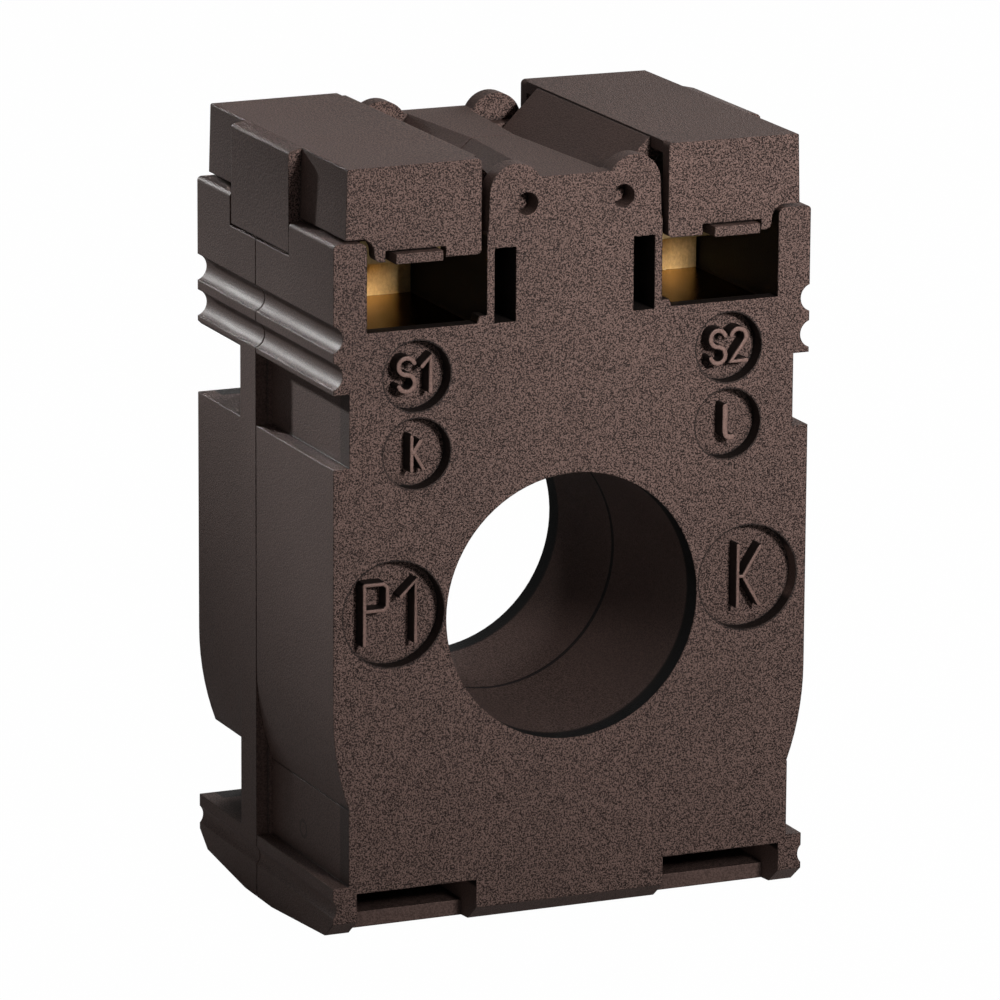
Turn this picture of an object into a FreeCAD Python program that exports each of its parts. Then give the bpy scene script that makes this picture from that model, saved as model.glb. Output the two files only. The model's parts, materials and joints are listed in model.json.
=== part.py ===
import FreeCAD, Part
import math
import os

# Window type current transformer, millimetres.
# Seen from the front, X runs to the right, Y runs to the back and Z up.
# The origin is the centre of the bounding box at the lowest edge.

# Driving dimensions
BORE_D = 22.5
WIDTH = 42.4
DEPTH = 30.0
BORE_Z = 27.25
SEAM_SHARE = 0.5583
FACE_WALL = 2.7
RING_WALL = 1.45
SLEEVE_WALL = 1.3
LEAD_SPACE = 2.9
ROOM_HEIGHT = 9.25

# Where the halves meet, the ring's room and the floor of the terminals
HALF_W = WIDTH / 2
HALF_D = DEPTH / 2
FRONT_Y = -HALF_D
REAR_Y = HALF_D
BORE_R = BORE_D / 2
SEAM_FROM_FRONT = SEAM_SHARE * DEPTH
SEAM_Y = SEAM_FROM_FRONT - HALF_D
RING_ROOM_R = HALF_W - RING_WALL
RING_SPACE = RING_ROOM_R - BORE_R - SLEEVE_WALL
FLOOR_Z = BORE_Z + RING_ROOM_R + LEAD_SPACE
WALL_TOP_Z = FLOOR_Z + ROOM_HEIGHT

# Outline of the housing seen from the front
FOOT_TOP_Z = 5.4
SIDE_STEP = 1.4
STEP_X = HALF_W - SIDE_STEP
CREASE_Z = 11.85
BELLY_R = 24.0
BELLY_TANGENT_Z = 20.1
BODY_TOP_Z = FLOOR_Z - 9.25
BLOCK_BOTTOM_Z = FLOOR_Z - 3.1
GROOVE_Z = (FLOOR_Z - 1.55, FLOOR_Z + 1.5)
GROOVE_HALF = 1.12
GROOVE_DEPTH = 0.8
FOOT_GROOVE_Z = 3.6
FOOT_GROOVE_HALF = 0.75
FOOT_GROOVE_DEPTH = 0.3
WALL_CORNER_R = 0.35
BLOCK_STEP = 0.3

# Underside: lowest at the seam, a little higher at both faces
UNDER_RISE = 0.95
UNDER_FLAT = (SEAM_FROM_FRONT - 3.25, SEAM_FROM_FRONT + 2.75)
FACE_BOTTOM_Z = 2.35
BEVEL_DEPTH = 1.8

# Deep notches in the sides of the rear shell, behind its rim
RIM = 3.6
REAR_NOTCH_TOP_Z = FLOOR_Z - 3.4
REAR_UPPER_X = HALF_W - 4.4
REAR_LOWER_X = HALF_W - 5.2
SEAM_GROOVE = 0.18
SEAM_GROOVE_DEPTH = 0.25

# Clip pockets in the underside
POCKET_X = (8.45, HALF_W - 2.1)
POCKET_TOP_Z = 4.75
POCKET_BAR_TOP_Z = 2.15
POCKET_BAR_SETBACK = 3.2
POCKET_DEPTH = 13.0

# Terminal rooms
ROOM_X = (7.78, HALF_W - 2.9)
SILL_Z = FLOOR_Z + 1.8
SILL_STEP_Z = FLOOR_Z + 2.4
SILL_STEP_X = 8.45
SILL_SLOPE = 0.2
WALL_TOP_ROUND = 0.65
TAB_NOTCH = (9.55, DEPTH - 7.4)
TAB_NOTCH_Z = WALL_TOP_Z - 2.75
FACE_PLATE = 1.5

# Terminals, one brass I section in each room
BAR_CLEARANCE = 0.17
BAR_BASE = 1.2
BAR_Y = (3.6, DEPTH - 3.4)
BAR_WEB_Y = (SEAM_FROM_FRONT - 1.25, SEAM_FROM_FRONT - 0.15)
BAR_TOP_Z = (WALL_TOP_Z - 2.55, WALL_TOP_Z - 1.25)
BAR_TOP_Y = (6.2, DEPTH - 4.0)
SCREW_Y = (10.0, DEPTH - 7.6)
ROOM_MIDDLE_X = (ROOM_X[0] + ROOM_X[1]) / 2
SCREW_R = 1.7
SCREW_FIT = 0.05
SCREW_HEAD_R = 3.0
SCREW_HEAD = 1.9
SCREW_SEAT_GAP = 0.2
SCREW_EDGE = 0.25
SCREW_TIP_R = 1.0
RIVET_R = 1.5
RIVET = 0.3
CLAMP_HALF_X = 2.6
CLAMP_HALF_Y = 3.0
CLAMP_THICK = 0.8
CLAMP_GAP = 0.08
CLAMP_REST_GAP = 0.27
CLAMP_STACK = CLAMP_GAP + CLAMP_THICK + SCREW_FIT + RIVET
SCREW_TRAVEL = BAR_TOP_Z[0] - CLAMP_STACK - FLOOR_Z - BAR_BASE - CLAMP_REST_GAP
SCREW_HEAD_TOP_Z = BAR_TOP_Z[1] + SCREW_TRAVEL + SCREW_SEAT_GAP + SCREW_HEAD
RECESS_SLOT = 0.9
RECESS_LENGTH = 3.4
RECESS_DEPTH = 1.1

# Hinged covers, high enough for the raised screws
COVER_ROOF = 1.0
COVER_HEADROOM = 0.30
COVER_TOP_Z = SCREW_HEAD_TOP_Z + COVER_HEADROOM + COVER_ROOF
COVER_X = (8.3, HALF_W - 1.05)
COVER_TOP_X = HALF_W - 1.2
COVER_FALL = 0.06
COVER_WALL = 1.2
COVER_SIDE_Z = WALL_TOP_Z + 0.3
COVER_LOBE_X = HALF_W - 3.55
COVER_LOBE_Z = WALL_TOP_Z - 1.7
COVER_STEP_R = 1.2
COVER_LOBE_R = 0.6
COVER_NOTCH_X = (HALF_W - 9.8, HALF_W - 4.5)
COVER_NOTCH_Z = WALL_TOP_Z - 0.8
COVER_TAB_X = (HALF_W - 2.25, HALF_W - 0.05)
COVER_TAB_Y = (9.75, DEPTH - 7.6)
COVER_TAB_Z = WALL_TOP_Z - 2.55
COVER_TAB_EDGE = 0.2
COVER_TAB_FALL = 0.25
COVER_EDGE = 0.15
COVER_INNER_R = 0.4
LUG_X = (HALF_W - 9.15, HALF_W - 5.05)
LUG_Z = (WALL_TOP_Z - 1.75, WALL_TOP_Z - 0.93)
LUG_PROUD = 0.95
LUG_DEPTH = 2.4
PIVOT_X = 4.28
PIVOT_Z = COVER_TOP_Z - 4.03
EAR_HOLE_R = 0.95
EAR_HOLE_EXTRA = 0.1
PIN_CLEARANCE = 0.06
PIN_INSET = 1.9
WEB_THICK = 1.8
WEB_STEP = 0.16
WEB_END_GAP = 0.4
WEB_LAP = 3.0

# Centre post with its ears and ridge
EAR_X = 5.22
EAR_Z = PIVOT_Z + 1.02
EAR_R = 2.35
EAR_THICK = 1.65
PLATE_THICK = 3.3
EAR_SIDE_X = 7.73
PLATE_TOP_Z = EAR_Z + 1.11
RIDGE_FACE_HALF = 2.8
RIDGE_SEAM_HALF = 1.9
RIDGE_FOOT_X = 3.8
RIDGE_FOOT_Z = PLATE_TOP_Z - 1.55
TROUGH_Z = WALL_TOP_Z - 0.05
TROUGH_FLOOR = 1.2
SLOT_X = (5.23, 7.13)
SLOT_Z = (FLOOR_Z + 1.7, WALL_TOP_Z - 1.35)
SLOT_DEPTH = 8.0

# Sunk discs around the terminal marks: distance from the side, z and radius
DISC_SINK = 1.45
DISCS = ((7.3, FLOOR_Z - 2.1, 2.95), (7.3, FLOOR_Z - 8.55, 2.95), (5.3, BORE_Z + 0.85, 4.45))

# Room and holes for the leads
LEAD_ROOM_X = 15.0
LEAD_ROOM_Z = (BORE_Z + 10.75, FLOOR_Z - 1.4)
POST_ROOM_X = 4.4
LEAD_HOLE_Y = (DEPTH - 9.5, DEPTH - 5.5)
LEAD_HOLE_X = (9.2, 12.2)
LEAD_R = 0.65
LEAD_GAP = 0.12
TAG_THICK = 0.5
TAG_HALF_X = 1.2
TAG_HALF_Y = 1.6
CUP_WALL = 0.35
CUP_HEIGHT = 1.0

# Core and winding: their shares of the room between sleeve and wall
CORE_SHARE = 0.389
CAP_SHARE = 0.083
WINDING_SHARE = 0.125
CORE_MIDDLE_R = RING_ROOM_R - RING_SPACE / 2
CORE_HALF = CORE_SHARE * RING_SPACE / 2
CORE_R = (CORE_MIDDLE_R - CORE_HALF, CORE_MIDDLE_R + CORE_HALF)
CORE_Y = (6.5, DEPTH - 6.5)
CAP_WALL = CAP_SHARE * RING_SPACE
CAP_SKIRT = 5.0
CAP_GAP = 0.1
CAP_END_GAP = 0.02
WINDING_WALL = WINDING_SHARE * RING_SPACE
LAYER_GAP = 0.05
TAPE_WALL = 0.25
TAPE_GAP = 0.03
TAPE_ARC_DEG = 28.0

# Cuts reach this far past the solid
PAST = 1.0
TOP_CLEAR = 20.0


def from_front(distance):
    """Y of a plane that lies this far behind the front face."""
    return distance - HALF_D


def box(x, y, z):
    """Box between two x, two y and two z values."""
    corner = FreeCAD.Vector(min(x), min(y), min(z))
    return Part.makeBox(max(x) - min(x), max(y) - min(y), max(z) - min(z), corner)


def prism(steps, y0, y1):
    """Closed outline in X and Z, extruded from y0 to y1.

    A step of two numbers is a corner; a step of two pairs is an arc that
    passes through the first pair and ends at the second.
    """
    start = FreeCAD.Vector(steps[0][0], y0, steps[0][1])
    here = start
    edges = []
    for step in list(steps[1:]) + [steps[0]]:
        if isinstance(step[0], tuple):
            middle = FreeCAD.Vector(step[0][0], y0, step[0][1])
            there = FreeCAD.Vector(step[1][0], y0, step[1][1])
            edges.append(Part.Arc(here, middle, there).toShape())
            here = there
            continue
        there = FreeCAD.Vector(step[0], y0, step[1])
        if there.distanceToPoint(here) > 1e-6:
            edges.append(Part.LineSegment(here, there).toShape())
            here = there
    face = Part.Face(Part.Wire(edges))
    return face.extrude(FreeCAD.Vector(0, y1 - y0, 0))


def mirrored(steps):
    """The same outline on the other side of the middle plane."""
    flipped = []
    for step in steps:
        if isinstance(step[0], tuple):
            flipped.append(((-step[0][0], step[0][1]), (-step[1][0], step[1][1])))
        else:
            flipped.append((-step[0], step[1]))
    return flipped


def on_side(steps, side):
    """Outline for the right half, or its mirror image for the left."""
    return steps if side > 0 else mirrored(steps)


def rod(x, z, radius, y0, y1):
    """Cylinder along Y."""
    return Part.makeCylinder(radius, y1 - y0, FreeCAD.Vector(x, y0, z), FreeCAD.Vector(0, 1, 0))


def post(x, y, radius, z0, z1):
    """Cylinder along Z."""
    return Part.makeCylinder(radius, z1 - z0, FreeCAD.Vector(x, y, z0))


def ring(r_in, r_out, y0, y1):
    """Ring about the bore axis."""
    return rod(0, BORE_Z, r_out, y0, y1).cut(rod(0, BORE_Z, r_in, y0 - PAST, y1 + PAST))


def fuse_all(shapes):
    """One solid from touching shapes."""
    whole = shapes[0]
    for shape in shapes[1:]:
        whole = whole.fuse(shape)
    return whole.removeSplitter()


def belly_x(z):
    """Half width of the lower body where its side curves in."""
    drop = BELLY_TANGENT_Z - z
    return HALF_W - BELLY_R + math.sqrt(BELLY_R ** 2 - drop ** 2)


def foot_side():
    """Side of the foot from the underside up, with its shallow groove."""
    low = FOOT_GROOVE_Z - FOOT_GROOVE_HALF
    high = FOOT_GROOVE_Z + FOOT_GROOVE_HALF
    middle = (HALF_W - FOOT_GROOVE_DEPTH, FOOT_GROOVE_Z)
    return [(HALF_W, 0), (HALF_W, low), (middle, (HALF_W, high)), (HALF_W, FOOT_TOP_Z)]


def block_side():
    """Side of the terminal block from its lower edge up, with two grooves."""
    steps = [(HALF_W, BLOCK_BOTTOM_Z)]
    for z in GROOVE_Z:
        steps.append((HALF_W, z - GROOVE_HALF))
        steps.append(((HALF_W - GROOVE_DEPTH, z), (HALF_W, z + GROOVE_HALF)))
    corner = WALL_CORNER_R
    bulge = corner * (1 - math.sqrt(0.5))
    steps.append((HALF_W, WALL_TOP_Z - corner))
    steps.append(((HALF_W - bulge, WALL_TOP_Z - bulge), (HALF_W - corner, WALL_TOP_Z)))
    return steps


def half_outline(upper_x, lower_x, block_z):
    """Right half of a shell's outline, with its side notches this deep."""
    crease_x = belly_x(CREASE_Z)
    halfway = (BELLY_TANGENT_Z + CREASE_Z) / 2
    steps = [(0, 0)]
    steps += foot_side()
    steps += [(lower_x, FOOT_TOP_Z), (lower_x, CREASE_Z), (crease_x, CREASE_Z)]
    steps += [((belly_x(halfway), halfway), (HALF_W, BELLY_TANGENT_Z))]
    steps += [(HALF_W, BODY_TOP_Z), (upper_x, BODY_TOP_Z), (upper_x, block_z), (HALF_W - BLOCK_STEP, block_z)]
    steps += block_side()
    steps += [(0, WALL_TOP_Z)]
    return steps


def rim_outline():
    """Right half of the rim of the rear shell, which has no notches."""
    steps = [(0, 0)]
    steps += foot_side()
    steps += block_side()
    steps += [(0, WALL_TOP_Z)]
    return steps


def both_halves(steps, y0, y1):
    """Outline and its mirror image as one solid."""
    return fuse_all([prism(steps, y0, y1), prism(mirrored(steps), y0, y1)])


def face_plate(y_face, inward):
    """Top of a shell's face plate: two thin ears above a thicker ledge."""
    foot_z = WALL_TOP_Z - PAST
    thin = sorted((y_face, y_face + inward * EAR_THICK))
    thick = sorted((y_face, y_face + inward * PLATE_THICK))
    side_x = EAR_X + EAR_R
    sides = [(-EAR_SIDE_X, foot_z), (EAR_SIDE_X, foot_z), (side_x, EAR_Z), (-side_x, EAR_Z)]
    plate = prism(sides, thick[0], thick[1])
    bridge = box((-EAR_X, EAR_X), thin, (foot_z, PLATE_TOP_Z))
    parts = [plate, bridge]
    for side in (-1, 1):
        parts.append(rod(side * EAR_X, EAR_Z, EAR_R, thin[0], thin[1]))
    return fuse_all(parts)


def ridge(y_face, y_seam):
    """Ridge of the roof between the covers, narrower at the seam."""
    wires = []
    for y, half in ((y_face, RIDGE_FACE_HALF), (y_seam, RIDGE_SEAM_HALF)):
        corners = [(-RIDGE_FOOT_X, TROUGH_Z - PAST), (RIDGE_FOOT_X, TROUGH_Z - PAST),
                   (RIDGE_FOOT_X, RIDGE_FOOT_Z), (half, PLATE_TOP_Z), (-half, PLATE_TOP_Z),
                   (-RIDGE_FOOT_X, RIDGE_FOOT_Z)]
        points = [FreeCAD.Vector(x, y, z) for x, z in corners]
        wires.append(Part.makePolygon(points + [points[0]]))
    return Part.makeLoft(wires, True, True)


def window_outline(outer_x):
    """Opening of a terminal room in the face plate, open at the top."""
    high = WALL_TOP_Z + TOP_CLEAR
    bend = WALL_TOP_ROUND * (1 - math.sqrt(0.5))
    round_z = WALL_TOP_Z - WALL_TOP_ROUND
    return [(ROOM_X[0], SILL_STEP_Z), (SILL_STEP_X, SILL_STEP_Z), (SILL_STEP_X + SILL_SLOPE, SILL_Z),
            (outer_x, SILL_Z), (outer_x, round_z),
            ((outer_x + bend, WALL_TOP_Z - bend), (outer_x + WALL_TOP_ROUND, WALL_TOP_Z)),
            (outer_x + WALL_TOP_ROUND, high), (ROOM_X[0], high)]


def underside_cut():
    """What the underside leaves out: the rise to both faces and the bevels."""
    low = -5.0
    outer = 2.0
    flat = [from_front(y) for y in UNDER_FLAT]
    profile = [(FRONT_Y - outer, low), (FRONT_Y - outer, FACE_BOTTOM_Z), (FRONT_Y, FACE_BOTTOM_Z),
               (FRONT_Y + BEVEL_DEPTH, UNDER_RISE), (flat[0], 0), (flat[1], 0),
               (REAR_Y - BEVEL_DEPTH, UNDER_RISE), (REAR_Y, FACE_BOTTOM_Z),
               (REAR_Y + outer, FACE_BOTTOM_Z), (REAR_Y + outer, low)]
    points = [FreeCAD.Vector(-WIDTH, y, z) for y, z in profile]
    face = Part.Face(Part.makePolygon(points + [points[0]]))
    return face.extrude(FreeCAD.Vector(2 * WIDTH, 0, 0))


def clip_pockets(face_y, inward):
    """Two pockets for mounting clips in the underside of a face."""
    shapes = []
    for side in (-1, 1):
        x = (side * POCKET_X[0], side * POCKET_X[1])
        shapes.append(box(x, (face_y - inward, face_y + inward * POCKET_BAR_SETBACK), (-1, POCKET_TOP_Z)))
        shapes.append(box(x, (face_y, face_y + inward * POCKET_DEPTH), (POCKET_BAR_TOP_Z, POCKET_TOP_Z)))
    return shapes


def face_recesses(face_y, inward):
    """Sunk discs, slots and ear holes of a face."""
    shapes = []
    for from_side, z, radius in DISCS:
        ys = sorted((face_y - inward, face_y + inward * DISC_SINK))
        for side in (-1, 1):
            shapes.append(rod(side * (HALF_W - from_side), z, radius, ys[0], ys[1]))
    for side in (-1, 1):
        x = (side * SLOT_X[0], side * SLOT_X[1])
        shapes.append(box(x, (face_y - inward, face_y + inward * SLOT_DEPTH), SLOT_Z))
        hole_depth = PLATE_THICK + WEB_END_GAP + EAR_HOLE_EXTRA
        ys = sorted((face_y - inward, face_y + inward * hole_depth))
        shapes.append(rod(side * PIVOT_X, PIVOT_Z, EAR_HOLE_R, ys[0], ys[1]))
    return shapes


def shell(y_face, y_seam, outlines):
    """One half of the housing, between its face and the seam."""
    inward = 1 if y_seam > y_face else -1
    y0 = min(y_face, y_seam)
    y1 = max(y_face, y_seam)
    inner = y_face + inward * FACE_WALL
    bodies = [both_halves(steps, ya, yb) for steps, ya, yb in outlines]
    bodies.append(face_plate(y_face, inward))
    bodies.append(ridge(y_face + inward * EAR_THICK, y_seam))
    body = fuse_all(bodies)

    beyond = (inner, y_seam + inward)
    cuts = [rod(0, BORE_Z, BORE_R, y0 - PAST, y1 + PAST), underside_cut()]
    cuts.append(ring(BORE_R + SLEEVE_WALL, RING_ROOM_R, min(beyond), max(beyond)))
    sleeve = rod(0, BORE_Z, BORE_R + SLEEVE_WALL, y0 - PAST, y1 + PAST)
    lead_room = box((-LEAD_ROOM_X, LEAD_ROOM_X), beyond, LEAD_ROOM_Z).cut(sleeve)
    cuts.append(lead_room)
    post_z = (LEAD_ROOM_Z[1] - PAST, TROUGH_Z - TROUGH_FLOOR)
    cuts.append(box((-POST_ROOM_X, POST_ROOM_X), beyond, post_z))
    room_face = y_face + inward * FACE_PLATE
    for side in (-1, 1):
        x = (side * ROOM_X[0], side * ROOM_X[1])
        cuts.append(box(x, (room_face, y_seam + inward), (FLOOR_Z, WALL_TOP_Z + TOP_CLEAR)))
        window = on_side(window_outline(ROOM_X[1]), side)
        ys = sorted((y_face - inward, room_face + inward * 0.01))
        cuts.append(prism(window, ys[0], ys[1]))
        wall = (side * (ROOM_X[1] - PAST / 2), side * (HALF_W + PAST))
        notch = [from_front(y) for y in TAB_NOTCH]
        cuts.append(box(wall, notch, (TAB_NOTCH_Z, WALL_TOP_Z + TOP_CLEAR)))
        trough = (side * RIDGE_FOOT_X, side * (ROOM_X[0] + PAST / 2))
        plate_back = y_face + inward * PLATE_THICK
        cuts.append(box(trough, (plate_back, y_seam + inward), (TROUGH_Z, WALL_TOP_Z + TOP_CLEAR)))
        hole = [from_front(y) for y in LEAD_HOLE_Y]
        hole_x = (side * LEAD_HOLE_X[0], side * LEAD_HOLE_X[1])
        cuts.append(box(hole_x, hole, (LEAD_ROOM_Z[1] - PAST, FLOOR_Z + PAST)))
    cuts += clip_pockets(y_face, inward)
    cuts += face_recesses(y_face, inward)
    for cut in cuts:
        body = body.cut(cut)
    return body.removeSplitter()


def front_shell():
    """Front half: shallow side notches that run from the face to the seam."""
    steps = half_outline(STEP_X, STEP_X, BLOCK_BOTTOM_Z)
    return shell(FRONT_Y, SEAM_Y, [(steps, FRONT_Y, SEAM_Y)])


def rear_shell():
    """Rear half: a full rim at the seam and deep side notches behind it."""
    rim_y = SEAM_Y + RIM
    steps = half_outline(REAR_UPPER_X, REAR_LOWER_X, REAR_NOTCH_TOP_Z)
    body = shell(REAR_Y, SEAM_Y, [(rim_outline(), SEAM_Y, rim_y), (steps, rim_y, REAR_Y)])
    return body.cut(seam_groove())


def seam_groove():
    """Narrow groove around the rear shell where it meets the front shell."""
    y = (SEAM_Y - PAST, SEAM_Y + SEAM_GROOVE)
    inner = HALF_W - GROOVE_DEPTH - SEAM_GROOVE_DEPTH
    z = (SEAM_GROOVE_DEPTH, WALL_TOP_Z - SEAM_GROOVE_DEPTH)
    around = both_halves(rim_outline(), y[0], y[1]).cut(box((-inner, inner), y, z))
    half = RIDGE_SEAM_HALF - SEAM_GROOVE_DEPTH / 2
    foot_x = RIDGE_FOOT_X - SEAM_GROOVE_DEPTH
    core = [(-foot_x, TROUGH_Z), (foot_x, TROUGH_Z), (foot_x, RIDGE_FOOT_Z - SEAM_GROOVE_DEPTH / 2),
            (half, PLATE_TOP_Z - SEAM_GROOVE_DEPTH), (-half, PLATE_TOP_Z - SEAM_GROOVE_DEPTH),
            (-foot_x, RIDGE_FOOT_Z - SEAM_GROOVE_DEPTH / 2)]
    over = box((-ROOM_X[0], ROOM_X[0]), y, (TROUGH_Z, COVER_TOP_Z)).cut(prism(core, y[0], y[1]))
    return around.fuse(over)


def cover_outer_corner():
    """Rounded corner between a cover's drafted side and its falling roof."""
    high = COVER_TOP_Z - COVER_FALL
    edge = COVER_EDGE
    bend = edge * (1 - math.sqrt(0.5))
    return [(COVER_TOP_X, high - edge), ((COVER_TOP_X - bend, high - bend), (COVER_TOP_X - edge, high))]


def cover_face_outline():
    """Face wall of a cover: stepped over the housing wall, notched below."""
    bend = COVER_STEP_R * (1 - math.sqrt(0.5))
    inner, outer = COVER_X
    step_x = COVER_LOBE_X + COVER_STEP_R
    round_r = COVER_INNER_R
    round_bend = round_r * (1 - math.sqrt(0.5))
    lobe_bend = COVER_LOBE_R * (1 - math.sqrt(0.5))
    steps = [(inner + round_r, COVER_LOBE_Z), (COVER_NOTCH_X[0], COVER_LOBE_Z),
             (COVER_NOTCH_X[0], COVER_NOTCH_Z), (COVER_NOTCH_X[1], COVER_NOTCH_Z),
             (COVER_NOTCH_X[1], COVER_LOBE_Z), (COVER_LOBE_X - COVER_LOBE_R, COVER_LOBE_Z),
             ((COVER_LOBE_X - lobe_bend, COVER_LOBE_Z + lobe_bend), (COVER_LOBE_X, COVER_LOBE_Z + COVER_LOBE_R)),
             (COVER_LOBE_X, COVER_SIDE_Z - COVER_STEP_R),
             ((COVER_LOBE_X + bend, COVER_SIDE_Z - bend), (step_x, COVER_SIDE_Z)), (outer, COVER_SIDE_Z)]
    steps += cover_outer_corner()
    steps += [(inner + round_r, COVER_TOP_Z),
              ((inner + round_bend, COVER_TOP_Z - round_bend), (inner, COVER_TOP_Z - round_r)),
              (inner, COVER_LOBE_Z + round_r),
              ((inner + round_bend, COVER_LOBE_Z + round_bend), (inner + round_r, COVER_LOBE_Z))]
    return steps


def cover_web_outline():
    """Sloped hinge web from the pivot up to the cover's roof."""
    rise = COVER_TOP_Z - WEB_STEP - PIVOT_Z
    tip_r = WEB_THICK / 2
    diagonal = math.sqrt(0.5)
    centre = (PIVOT_X + tip_r * diagonal, PIVOT_Z - tip_r * diagonal)
    far = (centre[0] - tip_r * diagonal, centre[1] - tip_r * diagonal)
    under = (PIVOT_X + WEB_THICK * diagonal, PIVOT_Z - WEB_THICK * diagonal)
    roof_z = COVER_TOP_Z - COVER_ROOF
    lap_x = PIVOT_X + rise + WEB_LAP
    return [(PIVOT_X, PIVOT_Z), (far, under), (under[0] + roof_z - under[1], roof_z),
            (lap_x, roof_z), (lap_x, COVER_TOP_Z - WEB_STEP), (PIVOT_X + rise, COVER_TOP_Z - WEB_STEP)]


def cover(side):
    """Hinged cover of one terminal room: side -1 is the left one."""
    parts = []
    face = on_side(cover_face_outline(), side)
    parts.append(prism(face, FRONT_Y, FRONT_Y + COVER_WALL))
    parts.append(prism(face, REAR_Y - COVER_WALL, REAR_Y))
    inner, outer = COVER_X
    roof_z = COVER_TOP_Z - COVER_ROOF
    wall_x = COVER_TOP_X - COVER_WALL
    roof_and_side = [(inner, roof_z), (wall_x, roof_z - COVER_FALL), (wall_x, COVER_SIDE_Z),
                     (outer, COVER_SIDE_Z)]
    roof_and_side += cover_outer_corner()
    roof_and_side += [(inner, COVER_TOP_Z)]
    parts.append(prism(on_side(roof_and_side, side), FRONT_Y + COVER_WALL, REAR_Y - COVER_WALL))
    tab_y = [from_front(y) for y in COVER_TAB_Y]
    tab_in, tab_out = COVER_TAB_X
    high = COVER_TOP_Z - COVER_FALL
    low = high - COVER_TAB_FALL
    tab = [(tab_in, COVER_TAB_Z), (tab_out, COVER_TAB_Z), (tab_out, low - COVER_TAB_EDGE),
           (tab_out - COVER_TAB_EDGE, low), (COVER_TOP_X - COVER_EDGE, high), (tab_in, roof_z - COVER_FALL)]
    parts.append(prism(on_side(tab, side), tab_y[0], tab_y[1]))
    for y_face, inward in ((FRONT_Y, 1), (REAR_Y, -1)):
        lug_x = (side * LUG_X[0], side * LUG_X[1])
        lug_y = (y_face - inward * LUG_PROUD, y_face + inward * LUG_DEPTH)
        parts.append(box(lug_x, lug_y, LUG_Z))
        arm_y = (y_face + inward * COVER_WALL, y_face + inward * LUG_DEPTH)
        parts.append(box(lug_x, arm_y, (LUG_Z[0], roof_z)))
    web_y = (FRONT_Y + PLATE_THICK + WEB_END_GAP, REAR_Y - PLATE_THICK - WEB_END_GAP)
    parts.append(prism(on_side(cover_web_outline(), side), web_y[0], web_y[1]))
    for y0, y1 in ((FRONT_Y + PIN_INSET, web_y[0]), (web_y[1], REAR_Y - PIN_INSET)):
        parts.append(rod(side * PIVOT_X, PIVOT_Z, EAR_HOLE_R - PIN_CLEARANCE, y0, y1))
    return fuse_all(parts)


def terminal_bar(side):
    """Brass I section: base, upright web and threaded top flange."""
    x = (side * (ROOM_X[0] + BAR_CLEARANCE), side * (ROOM_X[1] - BAR_CLEARANCE))
    base_y = [from_front(y) for y in BAR_Y]
    web_y = [from_front(y) for y in BAR_WEB_Y]
    top_y = [from_front(y) for y in BAR_TOP_Y]
    base_z = (FLOOR_Z, FLOOR_Z + BAR_BASE)
    parts = [box(x, base_y, base_z), box(x, web_y, (base_z[0], BAR_TOP_Z[1])), box(x, top_y, BAR_TOP_Z)]
    bar = fuse_all(parts)
    for y in SCREW_Y:
        bar = bar.cut(post(side * ROOM_MIDDLE_X, from_front(y), SCREW_R + SCREW_FIT,
                           BAR_TOP_Z[0] - PAST, BAR_TOP_Z[1] + PAST))
    return bar


def clamp_plate(side, y):
    """Pressure plate below a terminal screw, in its raised position."""
    top = BAR_TOP_Z[0] - CLAMP_GAP
    low = top - CLAMP_THICK
    x = side * ROOM_MIDDLE_X
    plate = box((x - CLAMP_HALF_X, x + CLAMP_HALF_X), (y - CLAMP_HALF_Y, y + CLAMP_HALF_Y), (low, top))
    return plate.cut(post(x, y, SCREW_TIP_R + SCREW_FIT, low - PAST, top + PAST))


def terminal_screw(side, y):
    """Terminal screw with a riveted tip, in its raised position."""
    x = side * ROOM_MIDDLE_X
    plate_top = BAR_TOP_Z[0] - CLAMP_GAP
    plate_low = plate_top - CLAMP_THICK
    head_top = SCREW_HEAD_TOP_Z
    seat = head_top - SCREW_HEAD
    tip = post(x, y, SCREW_TIP_R, plate_low - SCREW_FIT - RIVET, plate_top + SCREW_FIT)
    rivet = post(x, y, RIVET_R, plate_low - SCREW_FIT - RIVET, plate_low - SCREW_FIT)
    shank = post(x, y, SCREW_R, plate_top + SCREW_FIT, seat)
    head = post(x, y, SCREW_HEAD_R, seat, head_top)
    rim = [edge for edge in head.Edges if edge.BoundBox.ZMin > head_top - SCREW_EDGE]
    head = head.makeChamfer(SCREW_EDGE, rim)
    screw = fuse_all([tip, rivet, shank, head])
    recess = (head_top - RECESS_DEPTH, head_top + PAST)
    half = RECESS_SLOT / 2
    reach = RECESS_LENGTH / 2
    screw = screw.cut(box((x - SCREW_HEAD_R - PAST, x + SCREW_HEAD_R + PAST), (y - half, y + half), recess))
    return screw.cut(box((x - half, x + half), (y - reach, y + reach), recess))


def core_cap(y_end, inward):
    """Insulating cap over one end of the core."""
    r_in = CORE_R[0] - CAP_GAP
    r_out = CORE_R[1] + CAP_GAP
    skirt = sorted((y_end, y_end + inward * CAP_SKIRT))
    hollow = sorted((y_end + inward * CAP_WALL, y_end + inward * (CAP_SKIRT + PAST)))
    cap = ring(r_in - CAP_WALL, r_out + CAP_WALL, skirt[0], skirt[1])
    return cap.cut(ring(r_in, r_out, hollow[0], hollow[1]))


def winding_limits(layer):
    """Inner and outer radius and the two ends of a closed layer."""
    grow = CAP_GAP + CAP_WALL + LAYER_GAP + layer
    ends = (from_front(CORE_Y[0]) - grow, from_front(CORE_Y[1]) + grow)
    return CORE_R[0] - grow, CORE_R[1] + grow, ends


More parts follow.
